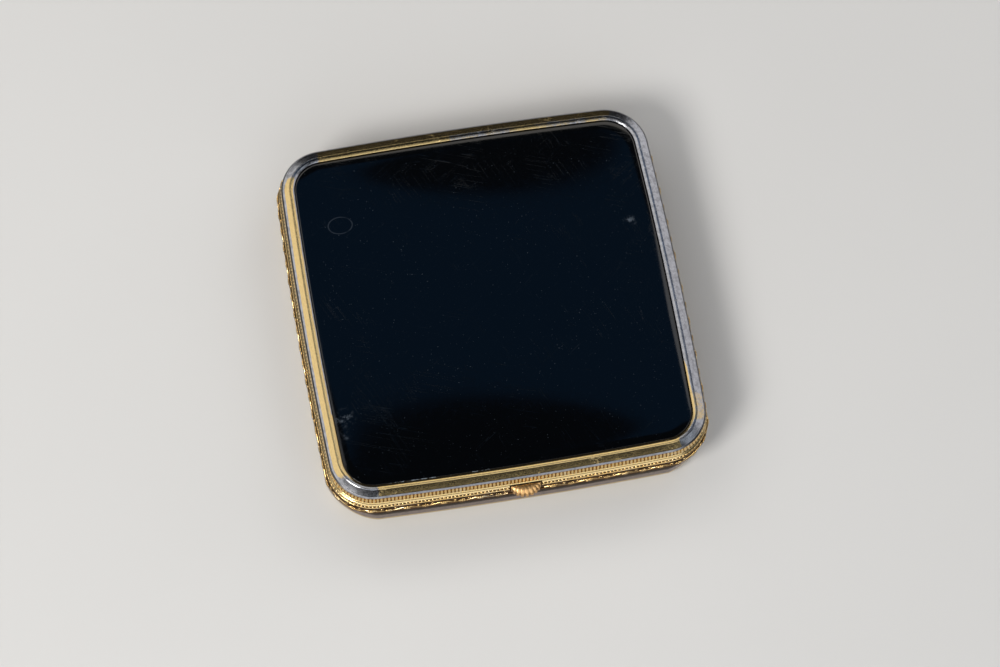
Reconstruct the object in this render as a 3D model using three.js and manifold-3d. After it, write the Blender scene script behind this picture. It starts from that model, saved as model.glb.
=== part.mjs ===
// A square powder compact: gilt case, black panel in the lid, mirror, sifter and puff inside.
// Millimetres, +Z up. The origin is the middle of the flat underside; the catch faces -Y and
// the hinge +Y. Every sheet follows one plan outline at its own outward offset.

import * as THREE from "three";
import { mergeVertices } from "three/addons/utils/BufferGeometryUtils.js";
import Module from "manifold-3d";

const wasm = await Module();
wasm.setup();

// Plan outline: a square with gently bowed sides and round corners.
const CORNER_CENTRE = 28.05;
const CORNER_RADIUS = 5.95;
const BOW_ANGLE = THREE.MathUtils.degToRad(1.906);
const SIDE_RADIUS = CORNER_CENTRE / Math.sin(BOW_ANGLE) + CORNER_RADIUS;
const SIDE_CENTRE = CORNER_CENTRE + (CORNER_RADIUS - SIDE_RADIUS) * Math.cos(BOW_ANGLE);
const SIDE_STEPS = 4;
const CORNER_STEPS = 7;

// Heights and wall offsets shared by several pieces.
const LID_LOW = 9.6;
const BASE_TOP = 9.44;
const RIDGE_LOW = 8.93;
const WALL_OUT = 2.0;
const WALL_IN = 1.3;
const TRIM_IN = 2.1;
const LEDGE_TOP = 11.3;
const LEDGE_EDGE = 12.6;
const LEDGE_LOW = 10.8;
const SHOULDER = 5.6;
const FLANK_OUT = 3.2;
const FLANK_ROUND = 2.0;
const FLANK_LOW = 2.5;
const FLANK_TUCK = 0.75;
const FLOOR = 0.8;
const TRAY_TOP = 6.2;

// Round well, sifter and puff.
const WELL_RADIUS = 28.2;
const ROUND_STEPS = 48;

// Hinge: five knuckles on one pin, flush in the back of the case.
const HINGE_Y = 37.3;
const HINGE_Z = 9.0;
const KNUCKLE_RADIUS = 0.75;
const BORE_RADIUS = 0.35;
const PIN_RADIUS = 0.3;
const KNUCKLE_LENGTH = 4.2;
const KNUCKLE_PITCH = 4.4;
const HINGE_HALF = 10.9;
const NOTCH_HALF = 11.2;

// Catch: a fluted shell that is pushed in, and the slide, guide and spring behind it.
const SHELL_HALF = 2.9;
const SHELL_DEPTH = 2.0;
const SHELL_BACK = -37.35;
const SHELL_LOBES = 9;
const SLOT_HALF = 3.15;
const SLIDE_LOW = 7.45;
const SLIDE_TOP = 7.9;
const SLIDE_END = -34.0;
const GUIDE_BACK = -31.7;

const GILT = { color: 0xb99a5b, roughness: 0.32, metalness: 1 };
const WORN_GILT = { color: 0xa79a80, roughness: 0.3, metalness: 1 };
const WARM_GILT = { color: 0xc39c5a, roughness: 0.4, metalness: 1 };
const STEEL = { color: 0x9a9a98, roughness: 0.35, metalness: 1 };
const BLACK = { color: 0x0a0c10, roughness: 0.08, metalness: 0 };
const CARD = { color: 0x6d6253, roughness: 0.9, metalness: 0 };
const MIRROR = { color: 0xdfe5e8, roughness: 0.03, metalness: 1 };
const POWDER = { color: 0xd9ab8b, roughness: 0.95, metalness: 0 };
const GAUZE = { color: 0xd8cdb8, roughness: 0.8, metalness: 0 };
const PUFF = { color: 0xe6cdbb, roughness: 1, metalness: 0 };
const RIBBON = { color: 0xd2a592, roughness: 0.5, metalness: 0 };

const compact = new THREE.Group();

function add(name, geometry, finish) {
  const mesh = new THREE.Mesh(geometry, new THREE.MeshStandardMaterial(finish));
  mesh.name = name;
  compact.add(mesh);
}

// Points of the plan outline, counter-clockwise, moved outward by the offset. The tuck is how
// much further in the middles of the corners lie.
function outline(offset, tuck = 0) {
  const side = new THREE.ArcCurve(SIDE_CENTRE, 0, SIDE_RADIUS + offset, -BOW_ANGLE, BOW_ANGLE);
  const corner = new THREE.ArcCurve(
    CORNER_CENTRE, CORNER_CENTRE, CORNER_RADIUS + offset, BOW_ANGLE, Math.PI / 2 - BOW_ANGLE);
  const cornerPoints = corner.getPoints(CORNER_STEPS).map((point, step) => {
    const outward = point.clone().subScalar(CORNER_CENTRE).normalize();
    const inset = tuck * Math.sin(Math.PI * step / CORNER_STEPS);
    return point.clone().addScaledVector(outward, -inset);
  });
  const quarter = [
    ...side.getPoints(SIDE_STEPS).slice(0, -1),
    ...cornerPoints.slice(0, -1),
  ];
  const centre = new THREE.Vector2();
  return [0, 1, 2, 3].flatMap((turn) =>
    quarter.map((point) => point.clone().rotateAround(centre, turn * Math.PI / 2)));
}

// Skin through outline rings given as [offset, z, scale, tuck]. A closed loop is a frame;
// otherwise the first and last rings are capped. Outer faces run upward.
function loft(rings, closed) {
  const positions = [];
  const index = [];
  const count = outline(0).length;
  for (const [offset, z, scale = 1, tuck = 0] of rings) {
    for (const point of outline(offset, tuck)) {
      positions.push(point.x * scale, point.y * scale, z);
    }
  }
  const strips = closed ? rings.length : rings.length - 1;
  for (let ring = 0; ring < strips; ring++) {
    const low = ring * count;
    const high = ((ring + 1) % rings.length) * count;
    for (let i = 0; i < count; i++) {
      const j = (i + 1) % count;
      index.push(low + i, low + j, high + j, low + i, high + j, high + i);
    }
  }
  if (!closed) {
    const last = (rings.length - 1) * count;
    for (const [a, b, c] of THREE.ShapeUtils.triangulateShape(outline(rings[0][0]), [])) {
      index.push(a, c, b);
    }
    for (const [a, b, c] of THREE.ShapeUtils.triangulateShape(outline(rings.at(-1)[0]), [])) {
      index.push(last + a, last + b, last + c);
    }
  }
  const geometry = new THREE.BufferGeometry();
  geometry.setAttribute("position", new THREE.Float32BufferAttribute(positions, 3));
  geometry.setIndex(index);
  geometry.computeVertexNormals();
  return geometry;
}

const frame = (rings) => loft(rings, true);
const plate = (offset, low, high) => loft([[offset, low], [offset, high]], false);

function box(x, y, z) {
  const geometry = new THREE.BoxGeometry(x[1] - x[0], y[1] - y[0], z[1] - z[0]);
  return geometry.translate((x[0] + x[1]) / 2, (y[0] + y[1]) / 2, (z[0] + z[1]) / 2);
}

const polygon = (points) => new THREE.Shape(points.map(([x, y]) => new THREE.Vector2(x, y)));

function extrudeUp(shape, low, high, curveSegments = 12) {
  const settings = { depth: high - low, bevelEnabled: false, curveSegments };
  return new THREE.ExtrudeGeometry(shape, settings).translate(0, 0, low);
}

// The shape's x and y become y and z.
function extrudeAlongX(shape, from, to) {
  const axes = new THREE.Matrix4().makeBasis(
    new THREE.Vector3(0, 1, 0), new THREE.Vector3(0, 0, 1), new THREE.Vector3(1, 0, 0));
  return extrudeUp(shape, from, to).applyMatrix4(axes);
}

// The shape's x and y become x and z.
function extrudeAlongY(shape, from, to) {
  return extrudeUp(shape, -to, -from).rotateX(Math.PI / 2);
}

// Turned piece about the vertical axis through (x, y), from [radius, z] points, bottom to top.
function turned(profile, steps, x = 0, y = 0) {
  const points = profile.map(([radius, z]) => new THREE.Vector2(radius, z));
  return new THREE.LatheGeometry(points, steps).rotateX(Math.PI / 2).translate(x, y, 0);
}

function solid(geometry) {
  const bare = geometry.clone();
  bare.deleteAttribute("normal");
  bare.deleteAttribute("uv");
  const merged = mergeVertices(bare);
  return new wasm.Manifold(new wasm.Mesh({
    numProp: 3,
    vertProperties: merged.attributes.position.array,
    triVerts: Uint32Array.from(merged.index.array),
  }));
}

function fromSolid(body) {
  const mesh = body.getMesh();
  const geometry = new THREE.BufferGeometry();
  geometry.setAttribute("position", new THREE.BufferAttribute(mesh.vertProperties, 3));
  geometry.setIndex(new THREE.BufferAttribute(mesh.triVerts, 1));
  geometry.computeVertexNormals();
  return geometry;
}

const cut = (body, ...tools) =>
  fromSolid(tools.reduce((rest, tool) => rest.subtract(solid(tool)), solid(body)));
const join = (body, ...others) =>
  fromSolid(others.reduce((sum, other) => sum.add(solid(other)), solid(body)));
const common = (body, other) => fromSolid(solid(body).intersect(solid(other)));

// Room for the knuckles at the back, and for the shell at the front, between two heights.
const hingeNotch = (low, high) => box([-NOTCH_HALF, NOTCH_HALF], [36.5, 39], [low, high]);
const shellSlot = (low, high) => box([-SLOT_HALF, SLOT_HALF], [-39, -36.5], [low, high]);

function addLid() {
  // Turned-out foot, upright wall, lip, sloping band, crest, inner slope and panel ledge.
  const bezel = frame([
    [WALL_IN, LID_LOW], [2.4, LID_LOW], [2.56, 9.7], [2.6, 9.84], [2.5, 9.96],
    [WALL_OUT, 9.98], [WALL_OUT, 12.05], [2.36, 12.08], [2.46, 12.2], [2.36, 12.34],
    [2.0, 12.5], [1.4, 12.76], [0.95, 12.94], [0.68, 13.0], [0.5, 12.94], [0, LEDGE_EDGE],
    [0, LEDGE_TOP], [-2.2, LEDGE_TOP], [-2.2, LEDGE_LOW], [WALL_IN, LEDGE_LOW],
  ]);
  add("lid_frame", cut(bezel, hingeNotch(9.5, 10)), WORN_GILT);

  add("lid_bead_wire", frame([
    [2.08, 10.04], [2.56, 10.06], [2.76, 10.2], [2.8, 10.4], [2.7, 10.8], [2.45, 11.4],
    [2.26, 11.9], [2.08, 11.95],
  ]), GILT);

  // The panel crowns by more than half a millimetre towards its middle.
  const rim = 12.5;
  const crown = 0.6;
  const dome = [0.85, 0.68, 0.5, 0.3, 0.1].map((scale) =>
    [-0.3, rim + crown * (1 - scale * scale), scale]);
  add("lid_panel", loft([[-0.1, LEDGE_TOP + 0.05], [-0.1, 12.36], [-0.3, rim], ...dome], false),
    BLACK);

  add("panel_backing", plate(-2.35, 10.85, 11.2), CARD);
  add("mirror_pad", plate(0.4, 10.35, 10.7), CARD);
  add("mirror", plate(-0.6, 9.2, 10.25), MIRROR);
  add("mirror_frame", frame([
    [-2.2, 8.75], [0.55, 8.75], [0.9, 9.1], [0.9, 10.7], [0.5, 10.7], [0.5, 9.12],
    [-2.6, 9.12], [-2.6, 8.95],
  ]), GILT);
}

function addBase() {
  const curveSteps = 7;
  const flank = Array.from({ length: curveSteps + 1 }, (_, step) => {
    const angle = (1 - step / curveSteps) * Math.PI / 2;
    return [FLANK_OUT - FLANK_ROUND * (1 - Math.cos(angle)), FLANK_LOW * (1 - Math.sin(angle))];
  });
  const tucked = ([offset, z]) => [offset, z, 1, FLANK_TUCK];
  const pan = loft([
    ...[...flank, [FLANK_OUT, SHOULDER], [3.1, 5.74]].map(tucked),
    [WALL_OUT, 5.8], [WALL_OUT, RIDGE_LOW], [2.6, RIDGE_LOW],
    [2.9, 9.02], [3.0, 9.18], [2.9, 9.36], [2.6, BASE_TOP], [WALL_IN, BASE_TOP], [WALL_IN, 5.4],
    ...[[2.45, 5.0], [2.45, 2.8], [2.1, 1.7], [1.4, 1.05], [0.4, FLOOR]].map(tucked),
  ], false);
  const slideSlot = box([-2.4, 2.4], [-36.8, -35.5], [6.5, 9.6]);
  add("base_pan", cut(pan, hingeNotch(8.8, 9.6), shellSlot(8.8, 9.6), slideSlot), GILT);

  add("scroll_band", cut(frame([
    [TRIM_IN, 5.9], [3.2, 5.9], [3.3, 6.2], [3.45, 6.8], [3.6, 7.5], [3.45, 8.1],
    [3.2, 8.35], [TRIM_IN, 8.35],
  ]), hingeNotch(8.1, 8.6), shellSlot(7.1, 8.6)), GILT);

  // The bead wire is two lengths, left and right, between the hinge and the shell.
  const wire = frame([
    [TRIM_IN, 8.45], [2.88, 8.45], [3.1, 8.67], [2.88, 8.87], [TRIM_IN, 8.87],
  ]);
  const open = cut(wire, hingeNotch(8.3, 9), shellSlot(8.3, 9));
  add("base_bead_wire_1", common(open, box([-45, 0], [-45, 45], [8, 9])), GILT);
  add("base_bead_wire_2", common(open, box([0, 45], [-45, 45], [8, 9])), GILT);
}

// One knuckle: a barrel with a leaf that lies against the wall above or below it.
function knuckle(place, leafEnd) {
  const shape = new THREE.Shape();
  const side = Math.sign(leafEnd);
  shape.moveTo(-KNUCKLE_RADIUS, leafEnd);
  shape.lineTo(-KNUCKLE_RADIUS, 0);
  shape.absarc(0, 0, KNUCKLE_RADIUS, Math.PI, Math.PI * (1 + side * 1.68), side < 0);
  shape.lineTo(-0.4, leafEnd);
  shape.holes.push(new THREE.Path().absarc(0, 0, BORE_RADIUS, 0, 2 * Math.PI));
  const start = place * KNUCKLE_PITCH - HINGE_HALF;
  return extrudeAlongX(shape, start, start + KNUCKLE_LENGTH).translate(0, HINGE_Y, HINGE_Z);
}

function addHinge() {
  [0, 2, 4].forEach((place, i) => add(`base_knuckle_${i + 1}`, knuckle(place, -0.8), GILT));
  [1, 3].forEach((place, i) => add(`lid_knuckle_${i + 1}`, knuckle(place, 1), GILT));
  const pin = new THREE.CylinderGeometry(PIN_RADIUS, PIN_RADIUS, 2 * HINGE_HALF, 24);
  add("hinge_pin", pin.rotateZ(Math.PI / 2).translate(0, HINGE_Y, HINGE_Z), STEEL);
}

function addInside() {
  const plateHole = new THREE.Path().absarc(0, 0, WELL_RADIUS, 0, 2 * Math.PI);
  const top = new THREE.Shape(outline(1.05));
  top.holes.push(plateHole);
  const lip = frame([[0.65, 4.9], [1.05, 4.9], [1.05, 5.9], [0.65, 5.9]]);
  const cup = turned([
    [0, 0.9], [28.8, 0.9], [28.8, 6.0], [WELL_RADIUS, 6.0], [WELL_RADIUS, 1.4], [0, 1.4],
  ], ROUND_STEPS);
  add("well_tray", join(extrudeUp(top, 5.75, TRAY_TOP, ROUND_STEPS / 2), lip, cup), GILT);

  add("powder_fill", turned([
    [0, 1.5], [27.9, 1.5], [27.9, 4.1], [26, 4.3], [0, 4.4],
  ], ROUND_STEPS), POWDER);
  add("sifter_ring", turned([
    [25.6, 4.9], [27.4, 4.9], [27.4, 4.6], [28, 4.6], [28, 6.25], [28.9, 6.25],
    [28.9, 6.5], [28.6, 6.7], [27.6, 6.7], [27.4, 6.4], [27.4, 5.25], [25.6, 5.25],
    [25.6, 4.9],
  ], ROUND_STEPS), WARM_GILT);
  add("sifter_mesh", turned([[0, 5.32], [27.2, 5.32], [27.2, 5.55], [0, 5.55]], ROUND_STEPS),
    GAUZE);
  add("powder_puff", turned([
    [0, 5.65], [25.8, 5.65], [26.5, 6.3], [26.3, 7.1], [25, 7.75], [18, 8.3], [9, 8.54],
    [0, 8.6],
  ], 36), PUFF);

  // A ribbon bowed over the puff from side to side.
  const ribbon = new THREE.Shape();
  ribbon.moveTo(-24.5, 8.1);
  ribbon.quadraticCurveTo(0, 9.26, 24.5, 8.1);
  ribbon.lineTo(24.5, 8.3);
  ribbon.quadraticCurveTo(0, 9.46, -24.5, 8.3);
  add("puff_ribbon", extrudeAlongY(ribbon, -4.5, 4.5), RIBBON);
}

// Half an ellipse in plan, its edge cut into round lobes.
function shellPlan() {
  const steps = SHELL_LOBES * 5;
  const points = [];
  for (let step = 0; step <= steps; step++) {
    const angle = Math.PI * (1 + step / steps);
    const reach = 0.88 + 0.12 * Math.abs(Math.sin(SHELL_LOBES * Math.PI * step / steps));
    points.push([SHELL_HALF * reach * Math.cos(angle),
      SHELL_BACK + SHELL_DEPTH * reach * Math.sin(angle)]);
  }
  return polygon(points);
}

function addCatch() {
  const shellSide = polygon([
    [SHELL_BACK, 7.35], [SHELL_BACK, 9.35], [-37.9, 9.28], [-38.7, 8.95], [-39.35, 8.35],
    [-39.35, 8.0], [-38.9, 7.6],
  ]);
  add("push_piece", common(
    extrudeUp(shellPlan(), 7, 9.6), extrudeAlongX(shellSide, -SHELL_HALF, SHELL_HALF)), WARM_GILT);

  const slide = polygon([[-2.2, -37.25], [2.2, -37.25], [2.2, SLIDE_END], [-2.2, SLIDE_END]]);
  slide.holes.push(polygon([[-1.3, -36.6], [1.3, -36.6], [1.3, -35], [-1.3, -35]]));
  add("catch_slide", join(
    extrudeUp(slide, SLIDE_LOW, SLIDE_TOP),
    box([-1.5, 1.5], [SLIDE_END - 0.4, SLIDE_END], [6.9, 7.6])), STEEL);

  // The tongue hangs from the lid through the slide's window; its tooth points inward.
  add("catch_keeper", extrudeAlongX(polygon([
    [-35.72, 6.65], [-35.1, 6.65], [-35.1, 7.0], [-35.44, 7.3], [-35.44, 10.7], [-35.72, 10.7],
  ]), -1.1, 1.1), STEEL);

  const strap = polygon([
    [-5, 6.25], [-2.35, 6.25], [-2.35, 8], [2.35, 8], [2.35, 6.25], [5, 6.25], [5, 6.6],
    [2.7, 6.6], [2.7, 8.35], [-2.7, 8.35], [-2.7, 6.6], [-5, 6.6],
  ]);
  add("catch_guide", join(
    extrudeAlongY(strap, -34.9, GUIDE_BACK),
    box([-2.5, 2.5], [GUIDE_BACK - 0.3, GUIDE_BACK], [6.3, 8.2])), GILT);
  [-3.8, 3.8].forEach((x, i) => add(`catch_rivet_${i + 1}`, turned([
    [0, 6.65], [0.55, 6.65], [0.5, 6.85], [0.3, 6.98], [0, 7.02],
  ], 20, x, -33.3), GILT));
  addSpring();
}

class Helix extends THREE.Curve {
  getPoint(t, target = new THREE.Vector3()) {
    const turns = 3;
    const angle = turns * 2 * Math.PI * t;
    const start = SLIDE_END + 0.15;
    const end = GUIDE_BACK - 0.45;
    return target.set(
      0.38 * Math.cos(angle), THREE.MathUtils.lerp(start, end, t), 7.4 + 0.38 * Math.sin(angle));
  }
}

function addSpring() {
  const wire = new THREE.Shape().absarc(0, 0, 0.1, 0, 2 * Math.PI);
  add("catch_spring", new THREE.ExtrudeGeometry(wire, {
    steps: 36, curveSegments: 4, extrudePath: new Helix(), bevelEnabled: false,
  }), STEEL);
}

addLid();
addBase();
addHinge();
addInside();
addCatch();

export default compact;
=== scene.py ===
"""A square powder compact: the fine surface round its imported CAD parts.

Shapes are worked out in millimetres and turned into metres as each mesh is made. Every sheet of
the case follows one plan outline, at its own outward offset, as the CAD parts do. Only the base's
flank is also tucked in at the corners.
"""

import math

import bpy
from mathutils import Matrix, Vector, noise
from mathutils.bvhtree import BVHTree


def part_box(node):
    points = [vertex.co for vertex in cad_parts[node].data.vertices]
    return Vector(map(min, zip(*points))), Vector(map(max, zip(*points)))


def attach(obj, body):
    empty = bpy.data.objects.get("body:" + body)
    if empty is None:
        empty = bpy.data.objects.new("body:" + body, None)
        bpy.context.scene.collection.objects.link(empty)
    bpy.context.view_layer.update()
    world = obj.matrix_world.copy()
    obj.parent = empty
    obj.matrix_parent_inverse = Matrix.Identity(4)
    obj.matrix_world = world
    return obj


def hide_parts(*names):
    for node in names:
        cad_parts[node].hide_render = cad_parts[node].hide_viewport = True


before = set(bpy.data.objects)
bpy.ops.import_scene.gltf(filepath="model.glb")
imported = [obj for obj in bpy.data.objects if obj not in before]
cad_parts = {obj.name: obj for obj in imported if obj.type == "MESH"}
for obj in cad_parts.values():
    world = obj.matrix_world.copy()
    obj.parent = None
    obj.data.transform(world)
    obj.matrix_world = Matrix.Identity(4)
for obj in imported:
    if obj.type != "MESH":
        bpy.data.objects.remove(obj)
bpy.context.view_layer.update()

MM = 0.001
TAU = 2 * math.pi
QUARTER = math.pi / 2

# Plan outline: bowed sides and round corners.
CORNER_CENTRE = 28.05
CORNER_RADIUS = 5.95
BOW = math.radians(1.906)
SIDE_RADIUS = CORNER_CENTRE / math.sin(BOW) + CORNER_RADIUS
SIDE_CENTRE = CORNER_CENTRE + (CORNER_RADIUS - SIDE_RADIUS) * math.cos(BOW)
MID_HALF = SIDE_CENTRE + SIDE_RADIUS
FRONT = -QUARTER
BACK = QUARTER

# Heights and wall offsets, as in the CAD parts.
LID_LOW = 9.6
BASE_TOP = 9.44
RIDGE_LOW = 8.93
WALL_OUT = 2.0
WALL_IN = 1.3
TRIM_IN = 1.95
SHOULDER = 5.6
FLANK_OUT = 3.2
BAND_OUT = 3.2
FLANK_TUCK = 0.75
TRAY_TOP = 6.2
WELL_RADIUS = 28.2

# Openings in the base's edge, as half widths along X.
SHELL_SLOT = 3.15
SLIDE_SLOT = 2.4
HINGE_NOTCH = 11.2

HINGE_Y = 37.3
HINGE_Z = 9.0
KNUCKLE_RADIUS = 0.75


# ---------------------------------------------------------------- plan outline

def outline(angle, offset, tuck=0.0):
    """The outline's point whose outward direction has this angle. The tuck is how much closer
    in the corners lie at their middle."""
    turn = round(angle / QUARTER)
    local = angle - turn * QUARTER
    if abs(local) <= BOW:
        centre, radius = (SIDE_CENTRE, 0.0), SIDE_RADIUS
    else:
        centre = CORNER_CENTRE, math.copysign(CORNER_CENTRE, local)
        share = (abs(local) - BOW) / (QUARTER - 2 * BOW)
        radius = CORNER_RADIUS - tuck * math.sin(math.pi * share)
    x = centre[0] + (radius + offset) * math.cos(local)
    y = centre[1] + (radius + offset) * math.sin(local)
    cos, sin = math.cos(turn * QUARTER), math.sin(turn * QUARTER)
    return x * cos - y * sin, x * sin + y * cos


def outward(x, y):
    """How far a point lies outside the outline."""
    near, far = sorted((abs(x), abs(y)))
    if math.atan2(near, far - SIDE_CENTRE) <= BOW:
        return math.hypot(near, far - SIDE_CENTRE) - SIDE_RADIUS
    return math.hypot(near - CORNER_CENTRE, far - CORNER_CENTRE) - CORNER_RADIUS


def directions(angle):
    """Outward and sideways at an outline angle."""
    out = Vector((math.cos(angle), math.sin(angle), 0))
    return out, Vector((-out.y, out.x, 0))


def arc_lengths(offset):
    """Angles where the outline's arcs meet, and the length of the outline up to each."""
    side = (SIDE_RADIUS + offset) * 2 * BOW
    corner = (CORNER_RADIUS + offset) * (QUARTER - 2 * BOW)
    angles, lengths = [], []
    for turn in range(-4, 8):
        start = turn * (side + corner)
        angles += [turn * QUARTER - BOW, turn * QUARTER + BOW]
        lengths += [start - side / 2, start + side / 2]
    return angles, lengths


def interpolate(value, xs, ys):
    """The y for a value that lies between two of the rising xs."""
    for i in range(len(xs) - 1):
        if value <= xs[i + 1]:
            share = (value - xs[i]) / (xs[i + 1] - xs[i])
            return ys[i] + share * (ys[i + 1] - ys[i])
    raise ValueError("outside the outline's table")


def smooth(value, low, high):
    """A smooth step from 0 at low to 1 at high."""
    share = max(0.0, min(1.0, (value - low) / (high - low)))
    return share * share * (3 - 2 * share)


def perimeter(offset):
    """The outline's length at an offset."""
    return 4 * ((SIDE_RADIUS + offset) * 2 * BOW + (CORNER_RADIUS + offset) * (QUARTER - 2 * BOW))


def angle_from_front(distance, offset):
    """Angle of the point this far round the outline from the middle of the front."""
    angles, lengths = arc_lengths(offset)
    return interpolate(interpolate(FRONT, angles, lengths) + distance, lengths, angles)


def spaced(start, end, pitch, offset):
    """Angles of evenly spaced places between two angles, near the wanted pitch."""
    angles, lengths = arc_lengths(offset)
    low, high = (interpolate(angle, angles, lengths) for angle in (start, end))
    count = round((high - low) / pitch)
    return [interpolate(low + (high - low) * (i + 0.5) / count, lengths, angles)
            for i in range(count)]


def fine_angles(start, end):
    """Outline angles from start to end, close together on both the sides and the corners."""
    side_steps, corner_steps = 28, 22
    places = [start]
    for turn in range(-3, 6):
        low, high = turn * QUARTER - BOW, turn * QUARTER + BOW
        places += [low + 2 * BOW * i / side_steps for i in range(side_steps)]
        places += [high + (QUARTER - 2 * BOW) * i / corner_steps for i in range(corner_steps)]
    inside = [angle for angle in places[1:] if start + 1e-5 < angle < end - 1e-5]
    return [start] + inside + [end]


ALL_ROUND = fine_angles(FRONT, FRONT + TAU)[:-1]


def side_angle(half_width, offset):
    """How far an opening of this half width turns the outline's angle on a side."""
    return math.asin(half_width / (SIDE_RADIUS + offset))


def edge_lengths(offset, front=None, back=None):
    """The outline between a front opening and a back one, as (start, end) angles."""
    front = side_angle(front, offset) if front else 0.0
    back = side_angle(back, offset) if back else None
    if back is None:
        return [(FRONT + front, FRONT + TAU - front)]
    return [(FRONT + front, BACK - back), (BACK + back, FRONT + TAU - front)]


# ---------------------------------------------------------------- mesh making

def fillet(corners, step=math.radians(14)):
    """A closed (offset, z) loop, with each (offset, z, radius) corner rounded."""
    loop = []
    for i, (x, z, radius) in enumerate(corners):
        here = Vector((x, z))
        if not radius:
            loop.append((x, z))
            continue
        before = Vector(corners[i - 1][:2]) - here
        after = Vector(corners[(i + 1) % len(corners)][:2]) - here
        half = before.angle(after) / 2
        reach = min(radius / math.tan(half), 0.46 * before.length, 0.46 * after.length)
        start = here + before.normalized() * reach
        end = here + after.normalized() * reach
        count = max(2, math.ceil((math.pi - 2 * half) / step))
        for k in range(count + 1):
            t = k / count
            point = start * (1 - t) ** 2 + here * 2 * t * (1 - t) + end * t ** 2
            loop.append((point.x, point.y))
    return loop


class Shape:
    """Points in millimetres with faces, and at each point a 0 to 1 mark for dirt and painted
    shade.
    """

    def __init__(self):
        self.points = []
        self.faces = []
        self.marks = []

    def add(self, points, faces, mark=0.0):
        first = len(self.points)
        self.points += [tuple(p) for p in points]
        self.faces += [tuple(first + i for i in face) for face in faces]
        self.marks += list(mark) if isinstance(mark, (list, tuple)) else [mark] * len(points)
        return self

    def rings(self, rings, closed=False, looped=True, caps=True, mark=0.0):
        """Skin through rings of points. Closed joins the last ring to the first, and looped
        joins each ring's own ends. Rings run counter-clockwise as seen from the last ring."""
        size = len(rings[0])
        faces = []
        for r in range(len(rings) if closed else len(rings) - 1):
            low, high = r * size, ((r + 1) % len(rings)) * size
            for i in range(size if looped else size - 1):
                j = (i + 1) % size
                faces.append((low + i, low + j, high + j, high + i))
        if caps and not closed:
            last = (len(rings) - 1) * size
            faces.append(tuple(reversed(range(size))))
            faces.append(tuple(range(last, last + size)))
        return self.add([p for ring in rings for p in ring], faces, mark)

    def sweep(self, loop, angles, closed, mark=0.0):
        """An (offset, z) loop, outer side upward, carried round the outline."""
        rings = [[(*outline(angle, offset), z) for offset, z in loop] for angle in angles]
        size = len(loop)
        faces = []
        for r in range(len(rings) if closed else len(rings) - 1):
            low, high = r * size, ((r + 1) % len(rings)) * size
            for i in range(size):
                j = (i + 1) % size
                faces.append((low + i, high + i, high + j, low + j))
        if not closed:
            last = (len(rings) - 1) * size
            faces.append(tuple(range(size)))
            faces.append(tuple(reversed(range(last, last + size))))
        marks = mark if not callable(mark) else [mark(o, z) for _ in rings for o, z in loop]
        return self.add([p for ring in rings for p in ring], faces, marks)

    def plate(self, levels, mark=0.0):
        """A closed plate from (offset, z) or (offset, z, tuck) levels, bottom to top."""
        rings = [[(*outline(angle, offset, *tuck), z) for angle in ALL_ROUND]
                 for offset, z, *tuck in levels]
        return self.rings(rings, mark=mark)

    def turned(self, profile, steps, closed=False):
        """A (radius, z) profile, bottom to top on its outer side, turned about the vertical."""
        turns = [TAU * i / steps for i in range(steps)]
        rings = [[(radius * math.cos(turn), radius * math.sin(turn), z) for turn in turns]
                 for radius, z in profile]
        return self.rings(rings, closed=closed)

    def blob(self, centre, along, across, out, rings=6, sides=8, inner_shade=0.0):
        """An ellipsoid on three half axes, with painted shade of the given strength laid towards
        its inner side.
        """
        points, marks = [centre - along], [0.0]
        for r in range(1, rings):
            polar = math.pi * r / rings
            for s in range(sides):
                turn = TAU * s / sides
                points.append(centre - along * math.cos(polar)
                              + across * math.sin(polar) * math.cos(turn)
                              + out * math.sin(polar) * math.sin(turn))
                marks.append(inner_shade * max(0.0, -math.sin(polar) * math.sin(turn)))
        points.append(centre + along)
        marks.append(0.0)
        faces = [(0, 1 + (s + 1) % sides, 1 + s) for s in range(sides)]
        for r in range(rings - 2):
            low, high = 1 + r * sides, 1 + (r + 1) * sides
            faces += [(low + s, low + (s + 1) % sides, high + (s + 1) % sides, high + s)
                      for s in range(sides)]
        last = 1 + (rings - 2) * sides
        faces += [(last + s, last + (s + 1) % sides, len(points) - 1) for s in range(sides)]
        if across.cross(out).dot(along) < 0:
            faces = [tuple(reversed(face)) for face in faces]
        return self.add(points, faces, marks)

    def tube(self, path, radii, out_of, sides=8):
        """A round bar along a path of points. out_of gives each place's outward direction."""
        rings = []
        for i, point in enumerate(path):
            ahead = (path[min(i + 1, len(path) - 1)] - path[max(i - 1, 0)]).normalized()
            out = out_of[i]
            cross = ahead.cross(out).normalized()
            out = cross.cross(ahead)
            rings.append([point + radii[i] * (cross * math.cos(TAU * s / sides)
                                              - out * math.sin(TAU * s / sides))
                          for s in range(sides)])
        return self.rings(rings)

    def mesh(self, name):
        """The shape as a Blender mesh, in metres."""
        mesh = bpy.data.meshes.new(name)
        mesh.from_pydata([Vector(p) * MM for p in self.points], [], self.faces)
        mesh.update()
        return mesh

    def piece(self, name, material, body, slot, *stands_for, sharp=38, worn=None):
        """The finished Blender object, riding on its body and standing for its CAD nodes."""
        mesh = self.mesh(name)
        mesh.shade_smooth()
        mesh.set_sharp_from_angle(angle=math.radians(sharp))
        recess = mesh.attributes.new("recess", "FLOAT", "POINT")
        recess.data.foreach_set("value", [float(m) for m in self.marks])
        if worn:
            wear = mesh.attributes.new("worn", "FLOAT", "POINT")
            wear.data.foreach_set("value", [worn(*p) for p in self.points])
        mesh.materials.append(material)
        return place(bpy.data.objects.new(name, mesh), body, slot, *stands_for)


def place(obj, body, slot, *stands_for):
    """Link an object, let it ride on its body and stand for its CAD nodes."""
    bpy.context.scene.collection.objects.link(obj)
    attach(obj, body)
    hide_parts(*stands_for)
    return obj


# ---------------------------------------------------------------- materials

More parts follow.
